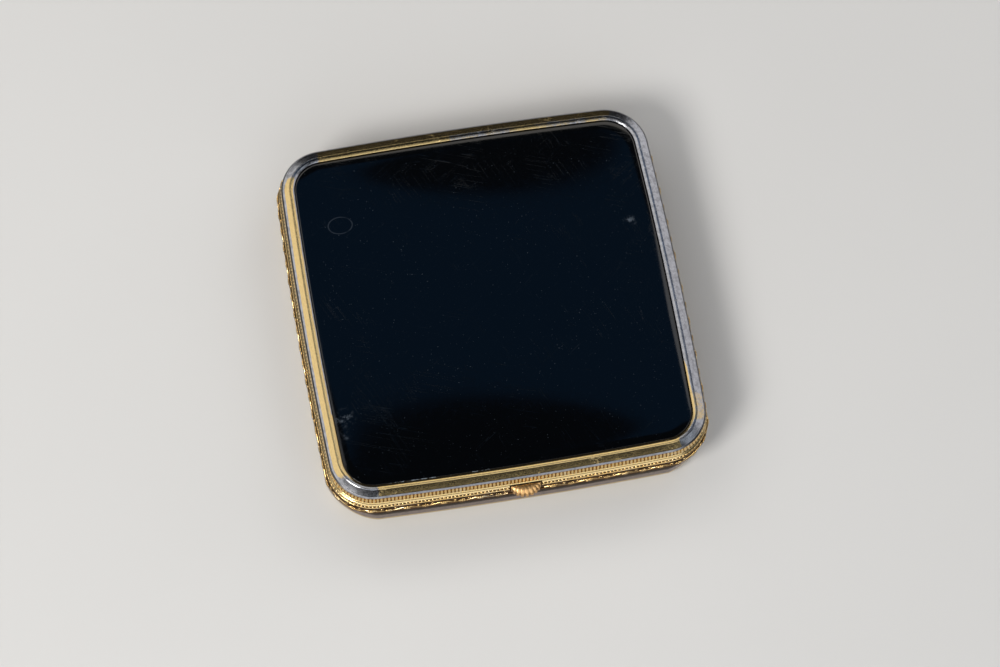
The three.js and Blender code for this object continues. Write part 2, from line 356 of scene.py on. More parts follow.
class Nodes:
    """A principled material whose patterns are laid out in millimetres on the object."""

    def __init__(self, name, **sockets):
        self.material = bpy.data.materials.new(name)
        self.material.use_nodes = True
        self.tree = self.material.node_tree
        self.shader = self.tree.nodes["Principled BSDF"]
        for key, value in sockets.items():
            self.shader.inputs[key.replace("_", " ")].default_value = value
        coordinates = self.put("TexCoord").outputs["Object"]
        self.mm = self.put("VectorMath", operation="SCALE", Vector=coordinates,
                           Scale=1 / MM).outputs["Vector"]

    def put(self, kind, operation=None, settings=None, **inputs):
        """A shader node. An input is given by its name, or by an underscore and its number, and
        is a value or another node's socket."""
        node = self.tree.nodes.new("ShaderNode" + kind)
        if operation:
            node.operation = operation
        for key, value in (settings or {}).items():
            setattr(node, key, value)
        for key, value in inputs.items():
            socket = node.inputs[int(key[1:]) if key[0] == "_" else key.replace("_", " ")]
            if isinstance(value, bpy.types.NodeSocket):
                self.tree.links.new(value, socket)
            else:
                socket.default_value = value
        return node

    def math(self, operation, a, b=0.0):
        return self.put("Math", operation, _0=a, _1=b).outputs[0]

    def noise(self, scale, detail=3.0, roughness=0.55, stretch=(1, 1, 1), turn=0.0, shift=0.0):
        """Noise with about scale features in a millimetre, drawn out along a turned X axis."""
        turned = self.put("VectorRotate", Vector=self.mm, Angle=turn).outputs[0]
        laid = self.put("Mapping", Vector=turned, Scale=stretch,
                        Location=(shift, shift, shift)).outputs[0]
        return self.put("TexNoise", Vector=laid, Scale=scale, Detail=detail,
                        Roughness=roughness).outputs["Fac"]

    def ramp(self, value, low, high, to_low=0.0, to_high=1.0):
        """A smooth step between two results as the value goes from low to high."""
        return self.put("MapRange", settings={"interpolation_type": "SMOOTHSTEP"},
                        Value=value, From_Min=low, From_Max=high,
                        To_Min=to_low, To_Max=to_high).outputs[0]

    def mark(self, name):
        """A value that the mesh carries at its points."""
        return self.put("Attribute", settings={"attribute_name": name}).outputs["Fac"]

    def mix(self, factor, a, b):
        """A colour from a at factor 0 to b at 1."""
        node = self.put("Mix", settings={"data_type": "RGBA"}, _0=factor)
        for socket, value in ((node.inputs[6], a), (node.inputs[7], b)):
            if isinstance(value, bpy.types.NodeSocket):
                self.tree.links.new(value, socket)
            else:
                socket.default_value = (*value, 1.0)
        return node.outputs[2]

    def hairlines(self, turn, width, stretch=0.05, scale=1.4, shift=0.0):
        """Long thin lines along one direction, 1 on a line and 0 between."""
        wave = self.noise(scale, 2.0, 0.5, (stretch, 1, 1), turn, shift)
        off_line = self.math("ABSOLUTE", self.math("SUBTRACT", wave, 0.5))
        return self.ramp(off_line, 0.0, width, 1.0, 0.0)

    def spot(self, x, y, radius):
        """1 at a place in the plan, falling to 0 at the radius."""
        flat = self.put("VectorMath", "MULTIPLY", _0=self.mm, _1=(1, 1, 0)).outputs[0]
        away = self.put("VectorMath", "DISTANCE", _0=flat, _1=(x, y, 0)).outputs["Value"]
        return self.ramp(away, 0.0, radius, 1.0, 0.0)

    def oval(self, x, y, half_x, half_y, width):
        """1 on the line of an oval in the plan, falling to 0 at this share of its size."""
        flat = self.put("VectorMath", "MULTIPLY", _0=self.mm,
                        _1=(1 / half_x, 1 / half_y, 0)).outputs[0]
        away = self.put("VectorMath", "DISTANCE", _0=flat,
                        _1=(x / half_x, y / half_y, 0)).outputs["Value"]
        return self.ramp(self.math("ABSOLUTE", self.math("SUBTRACT", away, 1.0)),
                         0.0, width, 1.0, 0.0)

    def set(self, **sockets):
        for key, value in sockets.items():
            self.tree.links.new(value, self.shader.inputs[key.replace("_", " ")])

    def bump(self, height, depth):
        """Surface relief of this depth in millimetres."""
        node = self.put("Bump", Strength=1.0, Distance=depth * MM, Height=height)
        self.set(Normal=node.outputs["Normal"])


def gilt(name, gold, bare, roughness, wear=0.0, grime_and_shade_colour=(0.028, 0.018, 0.008), grime_and_shade=0.75,
         scratch=0.5):
    """Gilt metal: patches where the plating has worn to a paler metal, pits and scratches."""
    n = Nodes(name, Metallic=1.0)
    patches = n.noise(0.22, 4.0, 0.6)
    fine = n.noise(3.6, 5.0, 0.65)
    worn = n.math("ADD", n.mark("worn"), wear)
    worn = n.math("ADD", worn, n.math("MULTIPLY", n.math("SUBTRACT", patches, 0.5), 0.7))
    worn = n.math("ADD", worn, n.math("MULTIPLY", n.math("SUBTRACT", fine, 0.5), 0.5))
    tone = n.mix(n.ramp(fine, 0.25, 0.8), tuple(0.78 * c for c in gold), gold)
    mottle = n.noise(1.1, 5.0, 0.7, shift=9.0)
    scuffed = n.mix(n.ramp(mottle, 0.36, 0.6), tuple(0.68 * c for c in bare), bare)
    colour = n.mix(n.ramp(worn, 0.38, 0.62), tone, scuffed)
    pitted = n.math("MULTIPLY", n.ramp(n.noise(5.0, 2.0, 0.5), 0.68, 0.76), 0.5)
    colour = n.mix(pitted, colour, (0.05, 0.035, 0.015))
    # The recess mark darkens the colour towards a dark brown: partly dirt in hollows, partly
    # painted shade and a painted dark reflection.
    recess = n.math("MULTIPLY", n.ramp(n.mark("recess"), 0.15, 1.0), grime_and_shade)
    colour = n.mix(recess, colour, grime_and_shade_colour)
    lines = n.math("MAXIMUM", n.hairlines(0.5, 0.006), n.hairlines(2.1, 0.005, shift=7.0))
    lines = n.math("MULTIPLY", lines, n.ramp(n.noise(0.35, 2.0, 0.5, shift=3.0), 0.56, 0.68))
    rough = n.math("ADD", n.ramp(fine, 0.2, 0.9, roughness * 0.75, roughness * 1.3),
                   n.math("MULTIPLY", lines, 0.18 * scratch))
    rough = n.math("ADD", rough, n.math("MULTIPLY", recess, 0.35))
    height = n.math("SUBTRACT", n.math("MULTIPLY", fine, 0.3), n.math("MULTIPLY", lines, scratch))
    height = n.math("SUBTRACT", height, n.math("MULTIPLY", pitted, 0.5))
    n.set(Base_Color=colour, Roughness=rough)
    n.bump(height, 0.008)
    return n.material


def black_panel():
    """Glossy black, with fine scratches, a few chips at its front edge and dried smudges."""
    n = Nodes("panel_black", Metallic=0.0, IOR=1.5)
    lines = None
    for turn, width, shift in ((0.35, 0.0035, 0.0), (1.15, 0.003, 11.0), (2.5, 0.003, 23.0)):
        one = n.hairlines(turn, width, 0.03, 0.8, shift)
        one = n.math("MULTIPLY", one, n.ramp(n.noise(0.12, 2.0, 0.5, shift=shift), 0.5, 0.62))
        lines = one if lines is None else n.math("MAXIMUM", lines, one)
    cloudy = n.noise(0.9, 6.0, 0.7)
    smudges = None
    for x, y, radius in ((-32.0, -19.6, 2.6), (29.7, 11.9, 1.6), (-32.2, -23.0, 1.2)):
        one = n.math("MULTIPLY", n.spot(x, y, radius), n.ramp(cloudy, 0.48, 0.66))
        smudges = one if smudges is None else n.math("MAXIMUM", smudges, one)
    specks = n.ramp(n.noise(3.2, 2.0, 0.4, shift=5.0), 0.735, 0.76)
    chips = n.math("MULTIPLY", n.mark("worn"),
                   n.ramp(n.noise(1.6, 4.0, 0.7, (0.45, 1, 1)), 0.53, 0.58))
    stain = n.math("MULTIPLY", n.oval(-26.3, 20.0, 2.35, 1.75, 0.09),
                   n.ramp(n.noise(0.5, 2.0, 0.5), 0.35, 0.6))
    pale = n.math("MAXIMUM", n.math("MULTIPLY", smudges, 0.2), n.math("MULTIPLY", lines, 0.014))
    pale = n.math("MAXIMUM", pale, n.math("MULTIPLY", specks, 0.08))
    pale = n.math("MAXIMUM", pale, n.math("MULTIPLY", chips, 0.7))
    pale = n.math("MAXIMUM", pale, n.math("MULTIPLY", stain, 0.05))
    colour = n.mix(pale, (0.0005, 0.0008, 0.0013), (0.36, 0.44, 0.54))
    haze = n.ramp(cloudy, 0.3, 0.8, 0.05, 0.09)
    rough = n.math("ADD", haze, n.math("MULTIPLY", pale, 0.5))
    n.set(Base_Color=colour, Roughness=rough)
    n.bump(n.math("SUBTRACT", n.math("MULTIPLY", cloudy, 0.2), lines), 0.0015)
    return n.material


def plain(name, colour, darker, roughness, grain, depth):
    """A non-metal with a fine grain in its colour and surface."""
    n = Nodes(name, Roughness=roughness)
    fine = n.noise(grain, 5.0, 0.65)
    n.set(Base_Color=n.mix(n.ramp(fine, 0.3, 0.75), darker, colour))
    n.bump(fine, depth)
    return n.material


def mirror_glass():
    """Silvered glass with a slight cloudy haze."""
    n = Nodes("mirror_silver", Metallic=1.0)
    haze = n.noise(0.15, 5.0, 0.7)
    n.set(Base_Color=n.mix(n.ramp(haze, 0.45, 0.8), (0.86, 0.89, 0.9), (0.74, 0.77, 0.78)),
          Roughness=n.ramp(haze, 0.3, 0.9, 0.015, 0.07))
    return n.material


def velour():
    """Short cotton pile, a little uneven in colour."""
    n = Nodes("puff_velour", Roughness=1.0, Sheen_Weight=0.7, Sheen_Roughness=0.5)
    pile = n.noise(7.0, 4.0, 0.7)
    patches = n.noise(0.3, 3.0, 0.5)
    shade = n.math("ADD", n.math("MULTIPLY", pile, 0.7), n.math("MULTIPLY", patches, 0.4))
    n.set(Base_Color=n.mix(n.ramp(shade, 0.3, 0.8), (0.52, 0.30, 0.22), (0.80, 0.58, 0.47)))
    n.bump(pile, 0.12)
    return n.material


def satin_ribbon():
    """Woven satin, with its threads along the ribbon."""
    n = Nodes("ribbon_satin", Roughness=0.38, Anisotropic=0.5, Sheen_Weight=0.3)
    threads = n.noise(5.0, 2.0, 0.5, (0.06, 1, 1))
    n.set(Base_Color=n.mix(n.ramp(threads, 0.3, 0.7), (0.50, 0.22, 0.18), (0.70, 0.38, 0.31)))
    n.bump(threads, 0.02)
    return n.material


def floor_board():
    """The plain pale floor."""
    n = Nodes("floor_pale", Roughness=0.85)
    broad = n.noise(0.01, 3.0, 0.5)
    n.set(Base_Color=n.mix(broad, (0.60, 0.60, 0.595), (0.64, 0.64, 0.635)))
    return n.material


GOLD = (0.80, 0.56, 0.24)
PALE_GOLD = (0.88, 0.76, 0.52)
NICKEL = (0.36, 0.37, 0.40)
TARNISH = (0.26, 0.20, 0.18)

BEZEL = gilt("gilt_bezel", (0.68, 0.51, 0.24), NICKEL, 0.20, scratch=0.8)
CASE = gilt("gilt_case", (0.72, 0.54, 0.27), TARNISH, 0.24, grime_and_shade=0.88)
TRIM = gilt("gilt_trim", GOLD, PALE_GOLD, 0.16, wear=0.4, grime_and_shade_colour=(0.12, 0.06, 0.026), grime_and_shade=0.95,
            scratch=0.2)
SATIN = gilt("gilt_satin", (0.72, 0.43, 0.18), (0.68, 0.46, 0.24), 0.34, wear=0.1,
             grime_and_shade_colour=(0.05, 0.025, 0.01), grime_and_shade=0.9)
HINGE = gilt("gilt_hinge", (0.66, 0.50, 0.26), (0.58, 0.52, 0.44), 0.28, wear=0.2)
STEEL = gilt("steel_parts", (0.46, 0.45, 0.43), (0.38, 0.37, 0.36), 0.30, wear=0.2)
PANEL = black_panel()
MIRROR = mirror_glass()
CARD = plain("card_grey", (0.34, 0.29, 0.23), (0.24, 0.20, 0.16), 0.9, 3.0, 0.03)
POWDER = plain("powder_pressed", (0.72, 0.46, 0.33), (0.60, 0.36, 0.25), 0.95, 5.0, 0.06)
GAUZE = plain("gauze_thread", (0.74, 0.68, 0.56), (0.60, 0.54, 0.43), 0.8, 8.0, 0.02)
VELOUR = velour()
RIBBON = satin_ribbon()


# ---------------------------------------------------------------- lid

def bezel_wear(x, y, z):
    """How far the bezel's gilding is gone: its right side, its corners, its lip and, on the
    left, all but a broad stripe along the middle of its band. In front its inner edge is gold."""
    gone, kept = 0.8, -0.5
    foot_top, lip_in = 11.0, 2.2
    out = outward(x, y)
    if z < foot_top:
        return 0.0
    gold_edge = 0.36 if x < 0 else 0.05
    if y < -20 and out < gold_edge:
        return kept
    if out > lip_in:
        return 0.85
    start = 25.8 if x < 0 and abs(y) > abs(x) else 29.2
    corner = smooth(min(abs(x), abs(y)), start, start + 3.4)
    if x < -30:
        stripe = smooth(out, 0.2, 0.5) - smooth(out, 1.55, 2.05)
        return gone - 0.9 * stripe * (1 - corner)
    if x > 30:
        patch = smooth(-y, 25.0, 26.5) - smooth(-y, 30.5, 32.0)
        return gone - 0.3 * patch
    side = 0.5 if y > 30 and x > -4 and out < 0.9 else kept
    return side + (gone - side) * corner


def lid_bezel():
    """From outside to inside: wall, lip, sloping and slightly rounded band, crest, inner edge
    and the ledge that carries the panel. The foot bead runs below, open at the hinge."""
    shape = Shape()
    band_out, band_low, rise, bend = 2.16, 12.46, 0.043, 0.0002
    band = [(band_out - 0.1 * step, band_low + rise * step - bend * step ** 2)
            for step in range(13)]
    body = fillet([
        (WALL_IN, LID_LOW, 0.1), (WALL_OUT, LID_LOW, 0.0), (WALL_OUT, 12.0, 0.04),
        (2.4, 12.03, 0.06), (2.57, 12.14, 0.08), (2.24, 12.43, 0.07),
        *((offset, z, 0.0) for offset, z in band),
        (0.87, 13.01, 0.12), (0.44, 12.94, 0.16), (0.0, 12.69, 0.05), (0.0, 11.3, 0.05),
        (-2.2, 11.3, 0.05), (-2.2, 10.8, 0.05), (WALL_IN, 10.8, 0.1),
    ], step=math.radians(9))
    # Painted dark reflection: the outer wall and the lip are darkened, as if they mirrored a black
    # floor.
    shape.sweep(body, ALL_ROUND, True,
                mark=lambda o, z: 0.9 if o == WALL_OUT else 0.55 if o > 2.2 else 0.0)
    foot = fillet([
        (TRIM_IN, LID_LOW + 0.01, 0.0), (2.55, LID_LOW + 0.01, 0.1), (2.8, 9.8, 0.22),
        (2.55, 9.99, 0.12), (TRIM_IN, 9.99, 0.0),
    ])
    notch = side_angle(HINGE_NOTCH, TRIM_IN)
    shape.sweep(foot, fine_angles(BACK + notch, BACK + TAU - notch), False, mark=0.2)
    shape.piece("bezel", BEZEL, "lid", "bezel_gilt", "lid_frame", worn=bezel_wear)


def lid_beads():
    """Upright drop-shaped beads, touching at their full lower ends, side by side round the lid."""
    shape = Shape()
    low, high, half = 10.05, 11.93, 0.36
    # Share of the height, width as a share of the pitch, and reach outward.
    levels = [
        (0.0, 0.8, 0.48), (0.04, 0.95, 0.64), (0.12, 1.05, 0.76), (0.24, 1.1, 0.79),
        (0.42, 1.1, 0.7), (0.56, 1.04, 0.6), (0.65, 0.74, 0.52), (0.74, 0.52, 0.44),
        (0.86, 0.46, 0.35), (1.0, 0.42, 0.28),
    ]
    around = [-1.0, -0.9, -0.7, -0.4, 0.0, 0.4, 0.7, 0.9, 1.0]
    for angle in spaced(FRONT, FRONT + TAU, 2 * half, 2.5):
        foot = Vector((*outline(angle, WALL_OUT - 0.04), 0))
        out, across = directions(angle)
        rings = []
        marks = []
        for share, width, reach in levels:
            level = foot + Vector((0, 0, low + share * (high - low)))
            rings.append([level + across * half * width * side
                          + out * reach * math.sqrt(1 - side * side) for side in around])
            # Painted shade between the beads: each is darker towards its sides, most where it
            # narrows, and a little towards its top.
            depth = 0.3 + 0.6 * smooth(share, 0.5, 0.68)
            marks += [depth * abs(side) ** 4 + 0.25 * share ** 2 for side in around]
        shape.rings(rings, mark=marks)
    shape.piece("lid_beads", TRIM, "lid", "trim_gilt", "lid_bead_wire", sharp=60)


def panel():
    """The black panel: a small rolled edge, then a sheet that bulges between its four edges."""
    low, rim, crown, inner = 11.35, 12.5, 0.6, -0.42
    rings = [[(*outline(angle, offset), z) for angle in ALL_ROUND]
             for offset, z in ((-0.1, low), (-0.1, 12.3), (-0.12, 12.38), (-0.19, 12.44),
                               (-0.29, 12.48), (inner, rim))]
    steps = 26
    half = MID_HALF + inner
    for step in range(1, steps):
        scale = 1 - step / steps
        ring = []
        for angle in ALL_ROUND:
            x, y = (scale * value for value in outline(angle, inner))
            bulge = (1 - (x / half) ** 2) * (1 - (y / half) ** 2) * (1 - scale ** 12)
            ring.append((x, y, rim + crown * max(0.0, bulge)))
        rings.append(ring)

    def chipped(x, y, z):
        return 1.0 if -25 < x < -7 and y < -33 and outward(x, y) > -0.25 else 0.0
    Shape().rings(rings).piece("panel", PANEL, "lid", "black_panel", "lid_panel", worn=chipped)


def lid_inside():
    """The mirror, and the rolled frame that holds it under the panel's ledge."""
    glass = Shape().plate([(-0.7, 9.2), (-0.6, 9.3), (-0.6, 10.15), (-0.7, 10.25)])
    glass.piece("mirror_plate", MIRROR, "lid", "mirror", "mirror")
    rim = fillet([
        (-2.3, 8.75, 0.12), (0.5, 8.75, 0.1), (0.9, 9.1, 0.2), (0.9, 10.7, 0.05),
        (0.5, 10.7, 0.05), (0.5, 9.12, 0.05), (-2.6, 9.12, 0.03), (-2.6, 8.95, 0.05),
    ])
    Shape().sweep(rim, ALL_ROUND, True).piece(
        "mirror_rim", CASE, "lid", "case_gilt", "mirror_frame")


# ---------------------------------------------------------------- base

def base_pan():
    """The pan with its rounded flank, the wall that the band and beads sit on, and the ridge."""
    steps = 14
    round_in, round_high = 2.0, 2.5
    flank = []
    for step in range(steps + 1):
        angle = (1 - step / steps) * QUARTER
        flank.append((FLANK_OUT - round_in * (1 - math.cos(angle)),
                      round_high * (1 - math.sin(angle))))
    flank += [(FLANK_OUT, z) for z in (2.8, 3.5, 4.0, 4.75, SHOULDER)]
    flank += [(3.17, 5.72), (3.05, 5.82)]
    inside = [(2.45, 5.0), (2.45, 2.8), (2.1, 1.7), (1.4, 1.05), (0.4, 0.8)]
    levels = [
        *((*level, FLANK_TUCK) for level in flank),
        (WALL_OUT, 5.88), (WALL_OUT, 6.45), (WALL_IN, 6.45), (WALL_IN, 5.4),
        *((*level, FLANK_TUCK) for level in inside),
    ]
    shaded = [smooth(z, 3.9, 5.0) * (offset > 3) for offset, z, *_ in levels]
    shape = Shape()
    shape.plate(levels, mark=[mark for mark in shaded for _ in ALL_ROUND])
    wall = fillet([(WALL_IN, 6.4, 0.0), (WALL_OUT, 6.4, 0.0), (WALL_OUT, BASE_TOP, 0.08),
                   (WALL_IN, BASE_TOP, 0.1)])
    for start, end in edge_lengths(WALL_OUT, front=SLIDE_SLOT):
        shape.sweep(wall, fine_angles(start, end), False, mark=lambda o, z: 0.8 * (o > 1.9))
    ridge = fillet([
        (TRIM_IN, RIDGE_LOW, 0.0), (2.7, RIDGE_LOW, 0.2), (3.04, 9.18, 0.25),
        (2.7, BASE_TOP, 0.2), (TRIM_IN, BASE_TOP, 0.0),
    ])
    for start, end in edge_lengths(TRIM_IN, front=SHELL_SLOT, back=HINGE_NOTCH):
        shape.sweep(ridge, fine_angles(start, end), False)

    def wear(x, y, z):
        return 1.0 if 2.7 < z < 5.9 and outward(x, y) > 2.2 else 0.0
    shape.piece("pan", CASE, "base", "case_gilt", "base_pan", worn=wear)


def base_beads():
    """Round beads on a half-round core, in a length on either side of the catch."""
    middle, pitch = 8.66, 0.72
    core = fillet([(TRIM_IN, 8.47, 0.0), (2.55, 8.47, 0.1), (2.72, middle, 0.15),
                   (2.55, 8.86, 0.1), (TRIM_IN, 8.86, 0.0)])
    lengths = edge_lengths(TRIM_IN, front=SHELL_SLOT, back=HINGE_NOTCH)
    for i, (start, end) in enumerate(lengths):
        shape = Shape().sweep(core, fine_angles(start, end), False, mark=0.8)
        for angle in spaced(start, end, pitch, 2.85):
            place_at = Vector((*outline(angle, 2.82), middle))
            out, across = directions(angle)
            shape.blob(place_at, Vector((0, 0, 0.21)), across * 0.27, out * 0.28,
                       rings=8, sides=12, inner_shade=0.5)
        shape.piece(f"base_beads_{i + 1}", TRIM, "base", "trim_gilt",
                    f"base_bead_wire_{2 - i}", sharp=60)


def band_point(distance, z):
    """A place on the band, and its outward and sideways directions."""
    angle = angle_from_front(distance, BAND_OUT)
    return Vector((*outline(angle, BAND_OUT), z)), *directions(angle)


def band_leaf(shape, distance, z, up, spread):
    """A palmette of five lobes fanning up or down from its foot, with a bud at the foot."""
    foot, out, across = band_point(distance, z)
    for lobe in range(-2, 3):
        angle = lobe * spread
        along = (across * math.sin(angle) + Vector((0, 0, up)) * math.cos(angle))
        length = 0.40 - 0.05 * abs(lobe)
        centre = foot + along * (length + 0.12) + out * 0.12
        side = along.cross(out)
        shape.blob(centre, along * length, side * 0.15, out * 0.19, inner_shade=0.9)
    shape.blob(foot + out * 0.14, across * 0.19, Vector((0, 0, 0.19)), out * 0.22, inner_shade=0.9)


def band_stem(shape, places, lift, radii, sides=8):
    """A round stem through (distance, z) places on the band, lifted off its ground."""
    path, outs = [], []
    for distance, z in places:
        point, out, _ = band_point(distance, z)
        path.append(point + out * lift)
        outs.append(out)
    shape.tube(path, radii, outs, sides=sides)


def tendril(shape, distance, z, turn, up):
    """A small curl that winds in on itself beside a leaf."""
    steps = 9
    places, radii = [], []
    for step in range(steps + 1):
        share = step / steps
        reach = 0.34 * (1 - 0.62 * share)
        angle = 1.35 * math.pi * share
        places.append((distance + turn * reach * math.cos(angle),
                       z + up * (0.16 + reach * math.sin(angle))))
        radii.append(0.1 - 0.03 * share)
    band_stem(shape, places, 0.02, radii, sides=6)


def vine_wave(shape, half, wave, rise):
    """Half a wave of the vine, rising or falling: its stem, a leaf and two curls in the hollow,
    and three berries on the crest."""
    middle, swing, steps = 7.14, 0.5, 10
    shares = [step / steps for step in range(steps + 1)]
    stem = [((half + share) * wave, middle + rise * swing * math.sin(math.pi * share))
            for share in shares]
    band_stem(shape, stem, 0.06, [0.13 + 0.06 * math.sin(math.pi * share) for share in shares])
    centre = (half + 0.5) * wave
    band_leaf(shape, centre, middle + rise * 0.12, -rise, 0.62)
    for berry in (-1, 0, 1):
        point, out, across = band_point(centre + 0.34 * berry,
                                        middle + rise * (swing + 0.2 - 0.08 * abs(berry)))
        shape.blob(point + out * 0.14, across * 0.17, Vector((0, 0, 0.17)), out * 0.2, inner_shade=0.8)
    for curl in (-1, 1):
        tendril(shape, (half + 0.5 + 0.36 * curl) * wave, middle - rise * 0.22, curl, -rise)


def band_ground(shape):
    """The dark ground and the two rails, in heights that the catch and the hinge part."""
    top_lengths = edge_lengths(TRIM_IN, front=SHELL_SLOT, back=HINGE_NOTCH)
    strips = [
        (5.9, 7.1, edge_lengths(TRIM_IN)),
        (7.1, 8.1, edge_lengths(TRIM_IN, front=SHELL_SLOT)),
        (8.1, 8.36, top_lengths),
    ]
    for low, high, lengths in strips:
        loop = [(TRIM_IN, low), (2.92, low), (2.92, high), (TRIM_IN, high)]
        for start, end in lengths:
            shape.sweep(loop, fine_angles(start, end), False, mark=0.95)
    rail = fillet([(2.7, 5.9, 0.0), (3.14, 5.9, 0.1), (3.26, 6.04, 0.12), (3.14, 6.2, 0.1),
                   (2.7, 6.2, 0.0)])
    shape.sweep(rail, ALL_ROUND, True, mark=0.6)
    top_rail = fillet([(2.7, 8.16, 0.0), (3.0, 8.16, 0.1), (3.12, 8.26, 0.1), (3.0, 8.36, 0.1),
                       (2.7, 8.36, 0.0)])
    for start, end in top_lengths:
        shape.sweep(top_rail, fine_angles(start, end), False, mark=0.3)


def scroll_band():
    """A running vine between two rails, darkened towards its lower side with painted shade, as of
    a shadow below the scrolls.
    """
    shape = Shape()
    band_ground(shape)
    halves = 80
    wave = perimeter(BAND_OUT) / halves
    for half in range(1, halves - 1):
        vine_wave(shape, half, wave, 1 if half % 2 else -1)
    # Painted shade: everything below this height is darkened, more so further down.
    painted_shade_top, fade = 7.5, 0.8
    shape.marks = [min(1.0, mark + 0.9 * smooth(painted_shade_top - point[2], 0, fade))
                   for mark, point in zip(shape.marks, shape.points)]
    shape.piece("scrolls", TRIM, "base", "trim_gilt", "scroll_band", sharp=60)


# ---------------------------------------------------------------- hinge

def knuckle(name, node, body, leaf_end):
    """One barrel with its leaf, with a small chamfer at each end."""
    low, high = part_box(node)
    chamfer, shrunk = 0.07, 0.9
    up = math.copysign(1.0, leaf_end)
    section = [(-KNUCKLE_RADIUS, leaf_end), (-0.4, leaf_end)]
    steps = 30
    for step in range(steps + 1):
        angle = math.pi + up * (1.68 * math.pi) * (1 - step / steps)
        section.append((KNUCKLE_RADIUS * math.cos(angle), KNUCKLE_RADIUS * math.sin(angle)))
    if up > 0:
        section.reverse()
    rings = []
    for x, scale in ((low.x / MM, shrunk), (low.x / MM + chamfer, 1.0),
                     (high.x / MM - chamfer, 1.0), (high.x / MM, shrunk)):
        rings.append([(x, HINGE_Y + scale * y, HINGE_Z + scale * z) for y, z in section])
    Shape().rings(rings).piece(name, HINGE, body, "hinge_gilt", node)


def hinge():
    """Three barrels of the base, with two of the lid between them."""
    for i in (1, 2, 3):
        knuckle(f"base_barrel_{i}", f"base_knuckle_{i}", "base", -0.8)
    for i in (1, 2):
        knuckle(f"lid_barrel_{i}", f"lid_knuckle_{i}", "lid", 1.0)


# ---------------------------------------------------------------- inside the base

def tray():
    """A square plate with a turned-down lip that falls into a round well."""
    count = 192
    angles = [TAU * i / count for i in range(count)]

    def square(offset, z):
        points = []
        for angle in angles:
            ray = Vector((math.cos(angle), math.sin(angle)))
            points.append((*on_ray(ray, offset), z))
        return points

    def circle(radius, z):
        return [(radius * math.cos(a), radius * math.sin(a), z) for a in angles]

    rings = [
        circle(28.8, 0.9), circle(28.8, 5.75), square(0.65, 5.75), square(0.65, 4.9),
        square(1.05, 4.9), square(1.05, 6.12), square(0.97, TRAY_TOP),
        circle(WELL_RADIUS + 0.9, TRAY_TOP), circle(WELL_RADIUS + 0.1, TRAY_TOP),
        circle(WELL_RADIUS, 6.1), circle(WELL_RADIUS, 1.4),
    ]
    Shape().rings(rings).piece("tray", CASE, "base", "case_gilt", "well_tray", sharp=30)


def on_ray(ray, offset):
    """Where a ray from the middle meets the outline at an offset."""
    low, high = 30.0, 60.0
    for _ in range(30):
        middle = (low + high) / 2
        if outward(*(ray * middle)) <= offset:
            low = middle
        else:
            high = middle
    return tuple(ray * low)


def powder():
    """A pressed cake with a slightly uneven top."""
    rings = []
    steps = 96
    for radius, z, rough in ((27.8, 1.5, 0), (27.9, 1.6, 0), (27.9, 4.0, 0), (27.2, 4.2, 0.05),
                             (22, 4.3, 0.1), (15, 4.35, 0.12), (8, 4.3, 0.1), (2, 4.35, 0.05)):
        ring = []
        for i in range(steps):
            x = radius * math.cos(TAU * i / steps)
            y = radius * math.sin(TAU * i / steps)
            ring.append((x, y, z + rough * noise.noise(Vector((x, y, 0)) * 0.4)))
        rings.append(ring)
    Shape().rings(rings).piece("powder_cake", POWDER, "base", "powder", "powder_fill")


def sifter():
    """A rolled hoop, and crossed threads stretched in it."""
    ring = fillet([
        (25.6, 4.9, 0.05), (27.4, 4.9, 0.0), (27.4, 4.6, 0.0), (28.0, 4.6, 0.05),
        (28.0, 6.25, 0.0), (28.9, 6.25, 0.06), (28.85, 6.55, 0.2), (28.2, 6.75, 0.3),
        (27.4, 6.6, 0.2), (27.4, 5.25, 0.05), (25.6, 5.25, 0.05),
    ])
    shape = Shape().turned(ring, 128, closed=True)
    shape.piece("sifter_hoop", SATIN, "base", "catch_gilt", "sifter_ring")

    threads = Shape()
    radius, pitch, middle = 27.1, 0.9, 5.43
    count = int(radius / pitch)
    for lane in range(-count, count + 1):
        half = math.sqrt(max(0.0, radius ** 2 - (lane * pitch) ** 2))
        for direction in (0, 1):
            stops = [-half + 2 * half * i / 12 for i in range(13)]
            path = [Vector((s, lane * pitch, middle + 0.04)) if direction == 0
                    else Vector((lane * pitch, s, middle - 0.04)) for s in stops]
            threads.tube(path, [0.07] * len(path), [Vector((0, 0, 1))] * len(path), sides=5)
    threads.piece("sifter_gauze", GAUZE, "base", "gauze", "sifter_mesh", sharp=60)


PUFF_SCALE = 10.0


def puff():
    """A round puff, blown up by a cloth simulation at ten times its size, then brought back."""
    radius, low, high = 26.2, 5.75, 8.05
    profile = [(0.2, low), (radius - 1.6, low), (radius - 0.5, low + 0.45), (radius, low + 0.95),
               (radius - 0.5, low + 1.45), (radius - 1.8, high - 0.1), (0.2, high)]
    profile = [(r * PUFF_SCALE, z * PUFF_SCALE) for r, z in profile]
    pad = bpy.data.objects.new("puff_pad", Shape().turned(profile, 64).mesh("puff_pad"))
    bpy.context.scene.collection.objects.link(pad)
    remesh = pad.modifiers.new("remesh", "REMESH")
    remesh.mode = "VOXEL"
    remesh.voxel_size = 0.006
    apply_modifiers(pad)
    inflate(pad)
    for vertex in pad.data.vertices:
        vertex.co /= PUFF_SCALE
    finer = pad.modifiers.new("finer", "SUBSURF")
    finer.levels = 1
    apply_modifiers(pad)
    pile(pad)
    pad.data.shade_smooth()
    pad.data.materials.append(VELOUR)
    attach(pad, "base")
    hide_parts("powder_puff")
    return pad


